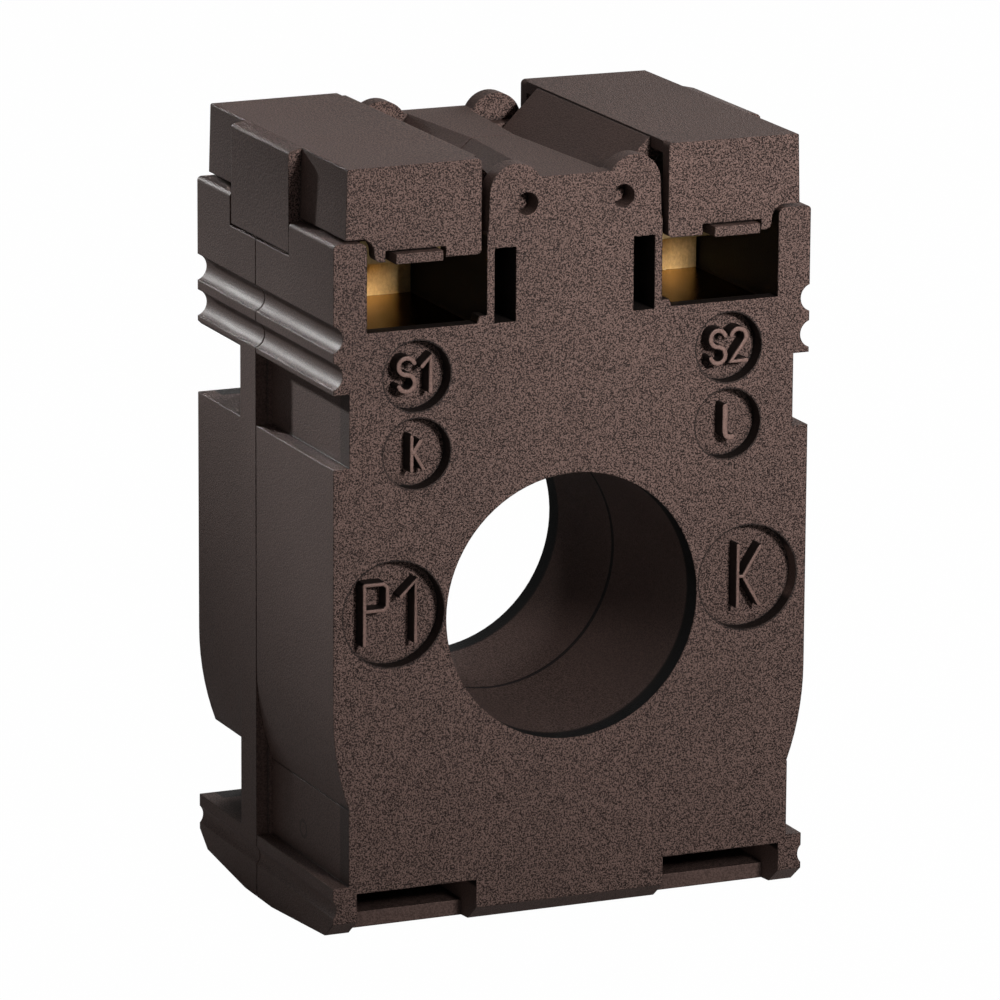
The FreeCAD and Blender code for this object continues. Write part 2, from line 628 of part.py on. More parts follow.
def layer_shell(inside, outside):
    """Layer that wraps the core on all sides."""
    r_in, r_out, ends = winding_limits(inside)
    ro_in, ro_out, outer_ends = winding_limits(outside)
    return ring(ro_in, ro_out, outer_ends[0], outer_ends[1]).cut(ring(r_in, r_out, ends[0], ends[1]))


def tape_strip():
    """Band of tape that holds the leads on top of the winding."""
    under = WINDING_WALL + TAPE_GAP
    whole = layer_shell(under, under + TAPE_WALL)
    reach = 2 * RING_ROOM_R
    half = math.radians(TAPE_ARC_DEG)
    centre = FreeCAD.Vector(0, FRONT_Y, BORE_Z)
    left = FreeCAD.Vector(-reach * math.sin(half), FRONT_Y, BORE_Z + reach * math.cos(half))
    right = FreeCAD.Vector(reach * math.sin(half), FRONT_Y, BORE_Z + reach * math.cos(half))
    face = Part.Face(Part.makePolygon([centre, left, right, centre]))
    return whole.common(face.extrude(FreeCAD.Vector(0, DEPTH, 0)))


def lead(side):
    """Insulated lead from the winding up to the solder tag."""
    hole_x = side * (LEAD_HOLE_X[0] + LEAD_HOLE_X[1]) / 2
    hole_y = from_front((LEAD_HOLE_Y[0] + LEAD_HOLE_Y[1]) / 2)
    top = FLOOR_Z - TAG_THICK - CUP_HEIGHT
    r_out = winding_limits(WINDING_WALL + TAPE_GAP + TAPE_WALL)[1]
    start_z = BORE_Z + math.sqrt(r_out ** 2 - hole_x ** 2) + LEAD_GAP
    return post(hole_x, hole_y, LEAD_R, start_z, top)


def solder_tag(side):
    """Tag soldered under the terminal bar, with the lead in its cup."""
    hole_x = side * (LEAD_HOLE_X[0] + LEAD_HOLE_X[1]) / 2
    hole_y = from_front((LEAD_HOLE_Y[0] + LEAD_HOLE_Y[1]) / 2)
    low = FLOOR_Z - TAG_THICK
    plate = box((hole_x - TAG_HALF_X, hole_x + TAG_HALF_X), (hole_y - TAG_HALF_Y, hole_y + TAG_HALF_Y),
                (low, FLOOR_Z))
    cup = post(hole_x, hole_y, LEAD_R + CUP_WALL, low - CUP_HEIGHT, low)
    return fuse_all([plate, cup])


def main():
    """Build every sub-part and write one file for each."""
    nodes = {}
    nodes["front_shell"] = front_shell()
    nodes["rear_shell"] = rear_shell()
    for name, side in (("left", -1), ("right", 1)):
        nodes[name + "_cover"] = cover(side)
    for name, side in (("s1", -1), ("s2", 1)):
        nodes[name + "_terminal"] = terminal_bar(side)
        nodes[name + "_lead"] = lead(side)
        nodes[name + "_tag"] = solder_tag(side)
        for place, y in zip(("front", "rear"), SCREW_Y):
            nodes[name + "_" + place + "_clamp"] = clamp_plate(side, from_front(y))
            nodes[name + "_" + place + "_screw"] = terminal_screw(side, from_front(y))
    core_y = [from_front(y) for y in CORE_Y]
    nodes["core"] = ring(CORE_R[0], CORE_R[1], core_y[0], core_y[1])
    nodes["core_front_cap"] = core_cap(core_y[0] - CAP_WALL - CAP_END_GAP, 1)
    nodes["core_rear_cap"] = core_cap(core_y[1] + CAP_WALL + CAP_END_GAP, -1)
    nodes["winding"] = layer_shell(0, WINDING_WALL)
    nodes["winding_tape"] = tape_strip()
    os.makedirs("parts", exist_ok=True)
    for name, shape in nodes.items():
        solids = shape.Solids
        print(name, "solids", len(solids), "valid", shape.isValid(), "volume", round(shape.Volume, 1))
        if len(solids) == 1:
            shape = solids[0]
        shape.exportStep(os.path.join("parts", name + ".step"))


main()
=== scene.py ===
# %% [markdown]
# # Window type current transformer
# A current transformer of this kind slides over a round bar and hands down a
# small copy of the current in the bar. Its solids come packed from CAD, and they
# could be modelled again here, but then the two could drift apart. So the packed
# solids are loaded as a fixed frame, and Blender adds only what CAD can't give:
# the finish of each solid, the raised terminal marks, the light and the camera.

# %% Tools and the fixed frame
import json
import math

import bmesh
import bpy
from mathutils import Matrix, Vector


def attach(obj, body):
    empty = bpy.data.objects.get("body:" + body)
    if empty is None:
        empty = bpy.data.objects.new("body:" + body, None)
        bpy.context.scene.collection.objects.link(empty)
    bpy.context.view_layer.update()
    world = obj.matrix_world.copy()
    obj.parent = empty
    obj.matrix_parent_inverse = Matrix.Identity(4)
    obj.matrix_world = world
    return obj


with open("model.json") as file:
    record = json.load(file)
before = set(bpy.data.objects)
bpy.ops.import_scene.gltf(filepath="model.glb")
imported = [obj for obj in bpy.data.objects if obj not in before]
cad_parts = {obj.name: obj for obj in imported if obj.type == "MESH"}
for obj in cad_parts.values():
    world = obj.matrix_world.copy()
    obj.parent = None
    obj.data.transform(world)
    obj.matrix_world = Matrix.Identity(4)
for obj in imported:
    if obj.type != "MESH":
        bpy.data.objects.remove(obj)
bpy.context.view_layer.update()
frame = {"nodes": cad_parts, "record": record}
nodes = frame["nodes"]
print("solids in the frame:", len(nodes))

# %% [markdown]
# ## Sizes of the housing
# The housing stands on the ground, its front face looks along -Y and its bore
# runs along Y. The finish needs to know where a few places are, such as the bore
# and the seam. They could be measured on the meshes, but a few named sizes are
# easier to read and to change. They are in millimetres, and MM turns them into
# the metres that Blender uses here.

# %% Sizes of the housing, in millimetres
MM = 0.001
FRONT = -15.0
REAR = 15.0
SEAM = 1.75
BORE_R = 11.25
BORE_Z = 27.25
print("housing depth", REAR - FRONT, "mm, bore", 2 * BORE_R, "mm")

# %% [markdown]
# ## A material and its numbers
# Each finish is a Principled shader fed by a net of small nodes. A net could be
# drawn by hand in the shader editor. Written out, it can be built again for each
# plastic and metal with other numbers, so every node gets a short helper.


# %% Helpers for a new material and for sums
def new_material(name):
    """A material, its node tree and its Principled shader."""
    material = bpy.data.materials.new(name)
    material.use_nodes = True
    tree = material.node_tree
    return material, tree, tree.nodes["Principled BSDF"]


def feed(tree, value, socket):
    """Set a plain number on a socket, or link another node's output to it."""
    if isinstance(value, (int, float)):
        socket.default_value = value
    else:
        tree.links.new(value, socket)


def maths(tree, operation, first, second=0.0):
    """One sum of two values."""
    made = tree.nodes.new("ShaderNodeMath")
    made.operation = operation
    feed(tree, first, made.inputs[0])
    feed(tree, second, made.inputs[1])
    return made.outputs[0]


def product(tree, *factors):
    """All factors multiplied."""
    value = factors[0]
    for factor in factors[1:]:
        value = maths(tree, "MULTIPLY", value, factor)
    return value


def spread(tree, value, from_low, from_high, to_low, to_high):
    """A value between two limits, stretched to two others and held there."""
    made = tree.nodes.new("ShaderNodeMapRange")
    tree.links.new(value, made.inputs["Value"])
    made.inputs["From Min"].default_value = from_low
    made.inputs["From Max"].default_value = from_high
    made.inputs["To Min"].default_value = to_low
    made.inputs["To Max"].default_value = to_high
    return made.outputs["Result"]


print("helpers: new_material, feed, maths, product, spread")

# %% [markdown]
# ## Where a point lies
# Much of the painted shade depends on the place: the bore is darker inside, and
# sunk walls look black. Such places could be cut out as faces with materials of
# their own, but the solids stay as packed. Instead a mask is worked out from the
# Object coordinates of the point, one inside the place and zero outside it.


# %% Helpers for places
def split_xyz(tree, vector):
    """The three parts of a vector."""
    made = tree.nodes.new("ShaderNodeSeparateXYZ")
    tree.links.new(vector, made.inputs[0])
    return made.outputs["X"], made.outputs["Y"], made.outputs["Z"]


def distance(tree, first, second, at_first, at_second):
    """Distance in a plane from a point, all in metres."""
    joined = tree.nodes.new("ShaderNodeCombineXYZ")
    tree.links.new(maths(tree, "SUBTRACT", first, at_first), joined.inputs["X"])
    tree.links.new(maths(tree, "SUBTRACT", second, at_second), joined.inputs["Y"])
    made = tree.nodes.new("ShaderNodeVectorMath")
    made.operation = "LENGTH"
    tree.links.new(joined.outputs[0], made.inputs[0])
    return made.outputs["Value"]


def size_of(tree, value):
    """A value without its sign, as front and rear or left and right are alike."""
    return maths(tree, "ABSOLUTE", value)


def rising(tree, value, low, high):
    """Zero below low, one above high, both in millimetres."""
    return spread(tree, value, low * MM, high * MM, 0.0, 1.0)


def falling(tree, value, low, high):
    """One below low, zero above high, both in millimetres."""
    return spread(tree, value, low * MM, high * MM, 1.0, 0.0)


def band(tree, value, middle, half, soft):
    """One within half of the middle, zero beyond a soft border, in millimetres."""
    away = size_of(tree, maths(tree, "SUBTRACT", value, middle * MM))
    return falling(tree, away, half, half + soft)


def shaded(tree, mask, darkest):
    """One outside a mask, down to the darkest value within it."""
    return spread(tree, mask, 0.0, 1.0, 1.0, darkest)


print("helpers: split_xyz, distance, size_of, rising, falling, band, shaded")

# %% [markdown]
# ## Patterns, colours and relief
# Grain, stains and brushed lines have no edges that a mesh could follow. They
# could come from photographed textures, but these would repeat and would belong
# to someone. Noise in Object coordinates needs no unwrapping, has the same scale
# on every solid, and moves with a cover when it opens.


# %% Helpers for patterns, colours and relief
def noise(tree, coords, scale, detail, rough):
    """Cloudy noise about 0.5, with scale clouds to the metre."""
    made = tree.nodes.new("ShaderNodeTexNoise")
    made.inputs["Scale"].default_value = scale
    made.inputs["Detail"].default_value = detail
    made.inputs["Roughness"].default_value = rough
    tree.links.new(coords, made.inputs["Vector"])
    return made.outputs["Fac"]


def stretched(tree, coords, scale):
    """Coordinates scaled per axis, which draws a pattern out along the low ones."""
    made = tree.nodes.new("ShaderNodeVectorMath")
    made.operation = "MULTIPLY"
    made.inputs[1].default_value = scale
    tree.links.new(coords, made.inputs[0])
    return made.outputs[0]


def colour_mixer(tree, kind):
    """A colour mixing node with its factor, its two colours and its result."""
    made = tree.nodes.new("ShaderNodeMix")
    made.data_type = "RGBA"
    made.blend_type = kind
    first, second = [socket for socket in made.inputs if socket.type == "RGBA"]
    result = [socket for socket in made.outputs if socket.type == "RGBA"][0]
    return made.inputs["Factor"], first, second, result


def between(tree, share, dark, light):
    """A colour between dark and light."""
    factor, first, second, result = colour_mixer(tree, "MIX")
    tree.links.new(share, factor)
    first.default_value = (*dark, 1.0)
    second.default_value = (*light, 1.0)
    return result


def dimmed(tree, colour, shade):
    """A colour multiplied by a grey shade."""
    grey = tree.nodes.new("ShaderNodeCombineColor")
    for name in ("Red", "Green", "Blue"):
        tree.links.new(shade, grey.inputs[name])
    factor, first, second, result = colour_mixer(tree, "MULTIPLY")
    factor.default_value = 1.0
    tree.links.new(colour, first)
    tree.links.new(grey.outputs["Color"], second)
    return result


def bump(tree, height, depth, strength, normal):
    """Relief of the given depth on top of a rounded normal."""
    made = tree.nodes.new("ShaderNodeBump")
    made.inputs["Strength"].default_value = strength
    made.inputs["Distance"].default_value = depth * MM
    tree.links.new(height, made.inputs["Height"])
    tree.links.new(normal, made.inputs["Normal"])
    return made.outputs["Normal"]


print("helpers: noise, stretched, between, dimmed, bump")

# %% [markdown]
# ## Edges and inner corners
# No moulded edge is sharp: it carries a thin line of light. Inner corners stay
# dark, as little light gets in. Rounding every edge of the meshes would add many
# faces, and the solids aren't to be changed. The Bevel node rounds only the
# shading, and the Ambient Occlusion node tells how open a point lies.

# %% Helpers for edges and corners
BEVEL_SAMPLES = 4
EDGE_COSINE = (0.985, 0.80)


def soft_edges(tree, radius):
    """Normals as if each edge were rounded."""
    made = tree.nodes.new("ShaderNodeBevel")
    made.samples = BEVEL_SAMPLES
    made.inputs["Radius"].default_value = radius * MM
    return made.outputs["Normal"]


def edge_line(tree, rounded):
    """One on edges, where the rounded normal leaves the true one."""
    made = tree.nodes.new("ShaderNodeVectorMath")
    made.operation = "DOT_PRODUCT"
    true = tree.nodes.new("ShaderNodeNewGeometry").outputs["True Normal"]
    tree.links.new(rounded, made.inputs[0])
    tree.links.new(true, made.inputs[1])
    return spread(tree, made.outputs["Value"], *EDGE_COSINE, 0.0, 1.0)


def openness(tree, reach, samples):
    """One in the open, lower in inner corners up to the reach."""
    made = tree.nodes.new("ShaderNodeAmbientOcclusion")
    made.samples = samples
    made.only_local = True
    made.inputs["Distance"].default_value = reach * MM
    return made.outputs["AO"]


print("helpers: soft_edges, edge_line, openness")

# %% [markdown]
# ## Painted shade and seam line of the bore
# The real bore has a dark line where the two halves of the housing meet. Its
# mouth at both faces lies in shadow, and its wall is a little darker than the
# faces, as less light gets in. The mouth is a chamfer of under half a millimetre,
# and light alone would hardly draw its shadow. So a mask by depth paints shade on
# the mouths and on the whole wall, and darkens the seam line.

# %% Painted shade and seam line of the bore
BORE_REACH = (0.02, 0.10)
MOUTH_DEPTH = 1.7
MOUTH_SOFT = 0.12
MOUTH_LIP = (0.1, 0.02)
SEAM_LINE = (0.22, 0.1)
# painted shade over the whole wall of the bore
BORE_PAINTED_SHADE = 0.05
# darkest painted shade, also the black of the bore's seam line
DARKEST_SHADE_AND_SEAM = 0.10


def bore_mask(tree, x, z):
    """One on the wall of the bore."""
    away = distance(tree, x, z, 0.0, BORE_Z * MM)
    return falling(tree, away, BORE_R + BORE_REACH[0], BORE_R + BORE_REACH[1])


def bore_seam_and_painted_shade(tree, inside, y):
    """Painted shade on the wall and the mouths of the bore, and a dark line at its seam."""
    depth = size_of(tree, y)
    start = REAR - MOUTH_DEPTH
    mouth = rising(tree, depth, start, start + MOUTH_SOFT)
    lip = falling(tree, depth, REAR - MOUTH_LIP[0], REAR - MOUTH_LIP[1])
    mouth = product(tree, mouth, lip)
    seam = band(tree, y, SEAM, *SEAM_LINE)
    marks = maths(tree, "MAXIMUM", mouth, seam)
    # painted shade on the mouths and the wall, a dark line on the seam
    dark = product(tree, inside, maths(tree, "MAXIMUM", marks, BORE_PAINTED_SHADE))
    return shaded(tree, dark, DARKEST_SHADE_AND_SEAM)


print("bore: mouths", MOUTH_DEPTH, "mm deep, seam line", 2 * SEAM_LINE[0], "mm wide")

# %% [markdown]
# ## Painted shade on the sunk walls
# The walls of the sunk discs, of the slots and of the terminal rooms lie in deep
# shade, black beside the brown faces. The studio light still reaches them here,
# so their shade is painted into the colour. Faces of their own material would do
# it, but the solids stay as packed.
# These walls don't look along Y and lie just behind a face, so a mask of both
# facts finds them. It spares the outer sides, the foot and the top.

# %% Painted shade on the sunk walls
DISC_WALL = (12.9, 13.2)
FACE_EDGE = (14.88, 14.96)
SIDE_EDGE = (19.7, 19.9)
ROOM_FLOOR = (51.0, 51.3)
WALL_FOOT = (4.0, 4.2)
WALL_HEAD = (58.8, 59.0)
ASIDE = (0.3, 0.6)


def sunk_wall_painted_shade(tree, x, y, z, nx, nz):
    """Painted black shade on the walls of the sunk discs, the slots and the rooms behind both
    faces.
    """
    depth = size_of(tree, y)
    near = maths(tree, "MAXIMUM", rising(tree, depth, *DISC_WALL),
                 rising(tree, z, *ROOM_FLOOR))
    behind = product(tree, near, falling(tree, depth, *FACE_EDGE))
    within = product(tree, falling(tree, size_of(tree, x), *SIDE_EDGE),
                     rising(tree, z, *WALL_FOOT), falling(tree, z, *WALL_HEAD))
    aside = maths(tree, "ADD", product(tree, nx, nx), product(tree, nz, nz))
    turned = spread(tree, aside, *ASIDE, 0.0, 1.0)
    # painted black shade on walls behind the faces that look sideways, up or down
    return shaded(tree, product(tree, behind, within, turned), DARKEST_SHADE_AND_SEAM)


print("sunk walls start", DISC_WALL[0], "mm from the middle")

# %% [markdown]
# ## Painted shade round the discs, and marks of the ejector pins
# A thin line of painted shade runs round the rim of each sunk disc. An ejector
# pin leaves a faint ring on each side above the foot, too shallow to be worth a
# cut in the solid. Both are drawn as thin rings.

# %% Painted shade round the discs and marks of the ejector pins
MARK_SMALL = ((-13.9, 47.8), (-13.9, 41.35), (13.9, 47.8), (13.9, 41.35))
MARK_LARGE = ((-15.9, 28.1), (15.9, 28.1))
SMALL_DISC_R = 2.95
LARGE_DISC_R = 4.45
DISCS = ((MARK_SMALL[2], SMALL_DISC_R), (MARK_SMALL[3], SMALL_DISC_R),
         (MARK_LARGE[1], LARGE_DISC_R))
DISC_LINE_OUT = 0.04
DISC_LINE = (0.06, 0.06)
DISC_RIM_PAINTED_SHADE = 0.35
AT_FACE = (14.9, 14.95)
PIN_PLACE = (-5.1, 7.7)
PIN_R = 0.7
PIN_LINE = (0.08, 0.10)
PIN_SIDE = (19.0, 19.5)
PIN_DARK = 0.62


def disc_rim_painted_shade(tree, x, y, z):
    """Thin line of painted shade round the rim of each sunk disc."""
    side = size_of(tree, x)
    line = 0.0
    for centre, radius in DISCS:
        away = distance(tree, side, z, centre[0] * MM, centre[1] * MM)
        ring = band(tree, away, radius + DISC_LINE_OUT, *DISC_LINE)
        line = maths(tree, "MAXIMUM", ring, line)
    at_face = rising(tree, size_of(tree, y), *AT_FACE)
    # painted shade on a thin ring round each disc rim
    return shaded(tree, product(tree, line, at_face), DISC_RIM_PAINTED_SHADE)


def pin_shade(tree, x, y, z):
    """Faint round marks of the ejector pins on the sides above the foot."""
    away = distance(tree, y, z, PIN_PLACE[0] * MM, PIN_PLACE[1] * MM)
    ring = band(tree, away, PIN_R, *PIN_LINE)
    side = rising(tree, size_of(tree, x), *PIN_SIDE)
    return shaded(tree, product(tree, ring, side), PIN_DARK)


print("disc lines", 2 * len(DISCS), "on each face, pin marks one on each side")

# %% [markdown]
# ## Grain of the mould
# The housing is a dark brown thermoplastic. The faces that look forward and back
# carry the spark-eroded grain of the mould, the tops a weaker one, and the sides
# are nearly smooth. A grain in the mesh would need millions of faces. Two layers
# of fine noise give it, and the direction of the normal sets its strength. The
# scale is no whole number of clouds to the depth of the housing, as noise is weak
# on such planes.

# %% Grain
GRAIN_SCALE = 7586.0
COARSE_SHARE = 0.4
FINE_PART, COARSE_PART = 0.85, 0.15
PIT_RANGE = (0.395, 0.605)
LOOKS_STRAIGHT = (0.75, 0.95)
GRAINED_DEPTH = (12.5, 12.9)


def grain_strength(tree, y, ny, nz, grain, housing):
    """Strength of the grain on faces that look along X, Y or Z."""
    along_x, along_y, along_z = grain
    forward = spread(tree, size_of(tree, ny), *LOOKS_STRAIGHT, 0.0, along_y - along_x)
    upward = spread(tree, size_of(tree, nz), *LOOKS_STRAIGHT, 0.0, along_z - along_x)
    if housing:
        forward = product(tree, forward, rising(tree, size_of(tree, y), *GRAINED_DEPTH))
    return maths(tree, "ADD", maths(tree, "ADD", forward, upward), along_x)


def grain_relief(tree, coords):
    """Fine pits with a coarser wave under them."""
    fine = noise(tree, coords, GRAIN_SCALE, detail=1.0, rough=0.5)
    coarse = noise(tree, coords, GRAIN_SCALE * COARSE_SHARE, detail=2.0, rough=0.5)
    return maths(tree, "ADD", product(tree, fine, FINE_PART),
                 product(tree, coarse, COARSE_PART))


def grain_tint(tree, relief, strength):
    """Share of the light colour: 0.5 where smooth, 0 to 1 in the full grain."""
    pit = spread(tree, relief, *PIT_RANGE, -0.5, 0.5)
    return maths(tree, "ADD", product(tree, pit, strength), 0.5)


print("grain", round(1000.0 / GRAIN_SCALE, 3), "mm from cloud to cloud")

# %% [markdown]
# ## Painted highlights on edges and painted shade in corners of a moulding
# Edges of the housing that look up carry a light line and the others a dark one,
# and narrow corners and deep slots lose their light. Light alone gives some of it.
# The rest is painted into the colour from the helpers for edges and openness: a
# painted highlight on the upper edges, and painted shade on the other edges, in
# corners and in cavities, all in one shade that multiplies the colour.

# %% Painted highlights and shade on edges and corners of a moulding
CORNER_REACH, CORNER_SAMPLES = 0.40, 3
CAVITY_REACH, CAVITY_SAMPLES = 6.0, 5
FREE_EDGE = (0.80, 0.95)
EDGE_TILT = (0.15, 0.45)
EDGE_LIFT = (-0.55, 0.35)
CORNER_OPEN, CORNER_SHADE = (0.45, 0.90), (0.30, 1.0)
CAVITY_OPEN, CAVITY_SHADE = (0.04, 0.24), (0.15, 1.0)


def painted_edge_and_corner_shade(tree, rounded):
    """Painted highlight on upper edges, painted shade on other edges, inner corners and
    cavities.
    """
    corner = openness(tree, CORNER_REACH, CORNER_SAMPLES)
    cavity = openness(tree, CAVITY_REACH, CAVITY_SAMPLES)
    free = spread(tree, corner, *FREE_EDGE, 0.0, 1.0)
    edge = product(tree, edge_line(tree, rounded), free)
    lift = spread(tree, split_xyz(tree, rounded)[2], *EDGE_TILT, *EDGE_LIFT)
    # painted highlight on edges that look up, painted shade on the others
    glow = maths(tree, "ADD", product(tree, edge, lift), 1.0)
    # painted shade in inner corners and in cavities
    return product(tree, glow, spread(tree, corner, *CORNER_OPEN, *CORNER_SHADE),
                   spread(tree, cavity, *CAVITY_OPEN, *CAVITY_SHADE))


print("corners within", CORNER_REACH, "mm and cavities within", CAVITY_REACH, "mm darken")

# %% [markdown]
# ## Painted highlights on the crests and painted shade on the flanks of the marks
# The marks stand on the floor of their discs. Their rounded crests catch the light
# and look lighter than the grained face, and their flanks lie in black shade. Both
# are painted into the colour. Two colours on one mesh could be set face by face. A
# mask by depth and by direction does the same and fades softly over the rounded
# crest.

# %% Painted crest highlight and flank shade
CREST_DEPTH = (14.75, 14.92)
FLANK_TURN = (0.35, 0.75)


def painted_crest_light_and_flank_shade(tree, y, ny, crest):
    """Painted highlight on the crests and painted black shade on the flanks of the raised
    marks.
    """
    near_face = spread(tree, size_of(tree, y), CREST_DEPTH[0] * MM, CREST_DEPTH[1] * MM,
                       0.0, crest)
    # painted black shade on the flanks, painted highlight near the face
    flank = spread(tree, size_of(tree, ny), *FLANK_TURN, DARKEST_SHADE_AND_SEAM, 1.0)
    return product(tree, flank, maths(tree, "ADD", near_face, 1.0))


print("crests start", CREST_DEPTH[0], "mm from the middle")

# %% [markdown]
# ## Moulded plastic
# All mouldings share one way of making: a tint from the grain, a faint cloud of
# uneven shine, painted light and shade from edges and places, and the relief of
# the grain. A material for each could be built from scratch, but one function with
# the two colours and the grain keeps them alike, as parts from one press are.

# %% Moulded plastic
CLOUD_SCALE = 90.0
CLOUD_RANGE = (0.3, 0.7)
CLOUD_TINT = (0.90, 1.05)
CLOUD_ROUGH = (0.54, 0.62)
GRAIN_ROUGH = 0.04
BORE_ROUGH = 0.80
PLASTIC_SPECULAR = 0.20
PLASTIC_EDGE = 0.16
GRAIN_DEPTH, GRAIN_BUMP = 0.16, 0.8


def moulded_plastic(name, light, dark, grain=(0.30, 1.0, 0.7), housing=False, crest=0.0):
    """Plastic with the mould's grain. Crest is how much lighter the painted highlight makes
    raised tops.
    """
    material, tree, shader = new_material(name)
    place = tree.nodes.new("ShaderNodeTexCoord")
    coords = place.outputs["Object"]
    x, y, z = split_xyz(tree, coords)
    nx, ny, nz = split_xyz(tree, place.outputs["Normal"])
    strength = grain_strength(tree, y, ny, nz, grain, housing)
    relief = grain_relief(tree, coords)
    cloud = noise(tree, coords, CLOUD_SCALE, detail=3.0, rough=0.55)
    tint = product(tree, grain_tint(tree, relief, strength),
                   spread(tree, cloud, *CLOUD_RANGE, *CLOUD_TINT))
    rough = maths(tree, "ADD", spread(tree, cloud, *CLOUD_RANGE, *CLOUD_ROUGH),
                  product(tree, strength, GRAIN_ROUGH))
    rounded = soft_edges(tree, PLASTIC_EDGE)
    shade = painted_edge_and_corner_shade(tree, rounded)
    # painted shade in the bore, on the sunk walls and round the discs; the seam line and pin
    # rings are real
    if housing:
        inside = bore_mask(tree, x, z)
        shade = product(tree, shade, bore_seam_and_painted_shade(tree, inside, y), pin_shade(tree, x, y, z),
                        sunk_wall_painted_shade(tree, x, y, z, nx, nz), disc_rim_painted_shade(tree, x, y, z))
        rough = maths(tree, "MAXIMUM", rough, product(tree, inside, BORE_ROUGH))
    # painted highlight on the crests and painted shade on the flanks
    if crest:
        shade = product(tree, shade, painted_crest_light_and_flank_shade(tree, y, ny, crest))
    colour = dimmed(tree, between(tree, tint, dark, light), shade)
    tree.links.new(colour, shader.inputs["Base Color"])
    tree.links.new(rough, shader.inputs["Roughness"])
    shader.inputs["Specular IOR Level"].default_value = PLASTIC_SPECULAR
    raised = bump(tree, product(tree, relief, strength), GRAIN_DEPTH, GRAIN_BUMP, rounded)
    tree.links.new(raised, shader.inputs["Normal"])
    return material


print("helper: moulded_plastic")

# %% [markdown]
# ## Plastic of the housing, the covers and the marks
# All three are moulded from the same dark brown plastic. Only the housing has a
# bore, a seam line, pin rings and painted shade on its sunk walls, in its bore and
# round its discs, and only the marks have painted highlights on their crests, so
# each gets a material of its own with the same two colours.

# %% Housing, covers and marks
BROWN_LIGHT = (0.156, 0.098, 0.083)
BROWN_DARK = (0.012, 0.0055, 0.0040)
MARK_GRAIN = (0.1, 0.2, 0.1)
# how much lighter the painted highlight makes the crests of the marks
MARK_CREST_HIGHLIGHT = 1.1

housing_plastic = moulded_plastic("housing_plastic", BROWN_LIGHT, BROWN_DARK, housing=True)
cover_plastic = moulded_plastic("cover_plastic", BROWN_LIGHT, BROWN_DARK)
mark_plastic = moulded_plastic("mark_plastic", BROWN_LIGHT, BROWN_DARK, MARK_GRAIN,
                               crest=MARK_CREST_HIGHLIGHT)
print("plastics:", housing_plastic.name, cover_plastic.name, mark_plastic.name)

# %% [markdown]
# ## Caps, tape and leads inside
# The ring core lies between caps of natural nylon, a polyester tape holds the
# start and the end of the winding, and red insulation covers the two leads. They
# are hidden, so they could be left grey, but an opened or cut model shows them.
# The same function makes them, with little grain.

# %% Caps, tape and leads
FAINT_GRAIN = (0.2, 0.2, 0.2)

nylon = moulded_plastic("cap_plastic", light=(0.72, 0.69, 0.60),
                        dark=(0.58, 0.54, 0.45), grain=FAINT_GRAIN)
tape = moulded_plastic("tape", light=(0.80, 0.62, 0.20),
                       dark=(0.62, 0.44, 0.11), grain=FAINT_GRAIN)
insulation = moulded_plastic("lead_insulation", light=(0.50, 0.05, 0.04),
                             dark=(0.34, 0.03, 0.03), grain=FAINT_GRAIN)
print("insulation:", nylon.name, tape.name, insulation.name)

# %% [markdown]
# ## Metals
# Rolled, drawn and turned metal has fine lines along its working direction and
# stains that change colour and shine together. A plain metallic colour looks
# like paint. Noise drawn out along one axis gives the lines, and a second noise
# gives the stains.

# %% Metal
LINE_RANGE, LINE_TINT = (0.3, 0.7), (0.5, 1.0)
STAIN_SCALE = 260.0
STAIN_RANGE, STAIN_TINT = (0.3, 0.65), (0.6, 1.0)
SHINE_RANGE = (0.3, 0.7)
STAIN_ROUGH = 0.12
METAL_EDGE = 0.08
METAL_BUMP = 0.6


def metal(name, light, dark, rough, direction, streak, depth):
    """Metal with lines along a direction. Gives the parts that a finish may alter."""
    material, tree, shader = new_material(name)
    coords = tree.nodes.new("ShaderNodeTexCoord").outputs["Object"]
    drawn = stretched(tree, coords, direction)
    lines = noise(tree, drawn, streak, detail=3.0, rough=0.6)
    stain = noise(tree, coords, STAIN_SCALE, detail=3.0, rough=0.6)
    tint = product(tree, spread(tree, lines, *LINE_RANGE, *LINE_TINT),
                   spread(tree, stain, *STAIN_RANGE, *STAIN_TINT))
    colour = between(tree, tint, dark, light)
    shine = spread(tree, stain, *SHINE_RANGE, rough + STAIN_ROUGH, rough)
    tree.links.new(colour, shader.inputs["Base Color"])
    tree.links.new(shine, shader.inputs["Roughness"])
    shader.inputs["Metallic"].default_value = 1.0
    relief = bump(tree, lines, depth, METAL_BUMP, soft_edges(tree, METAL_EDGE))
    tree.links.new(relief, shader.inputs["Normal"])
    return material, tree, shader, colour, shine


print("helper: metal")

# %% [markdown]
# ## Brass of the terminals
# The upright webs of the terminals catch the light, and their flat bases lie in
# the dark rooms with a low gleam. At the low angle of the camera, a metal that
# lies flat mirrors the bright surroundings. So the faces that look up get painted
# shade, a darker colour for the dark rooms, and are polished, and the tint of the
# specular edge is held back.

# %% Brass
FLAT_TOP = (0.5, 0.8)
# painted shade on the faces that look up
TOP_PAINTED_SHADE = 0.20
TOP_POLISH = 0.35
BRASS_EDGE_TINT = (0.62, 0.50, 0.38, 1.0)

brass, tree, shader, colour, shine = metal(
    "terminal_brass", light=(0.74, 0.52, 0.25), dark=(0.34, 0.22, 0.09), rough=0.38,
    direction=(1.0, 1.0, 0.6), streak=5200.0, depth=0.05)
facing_up = split_xyz(tree, tree.nodes.new("ShaderNodeTexCoord").outputs["Normal"])[2]
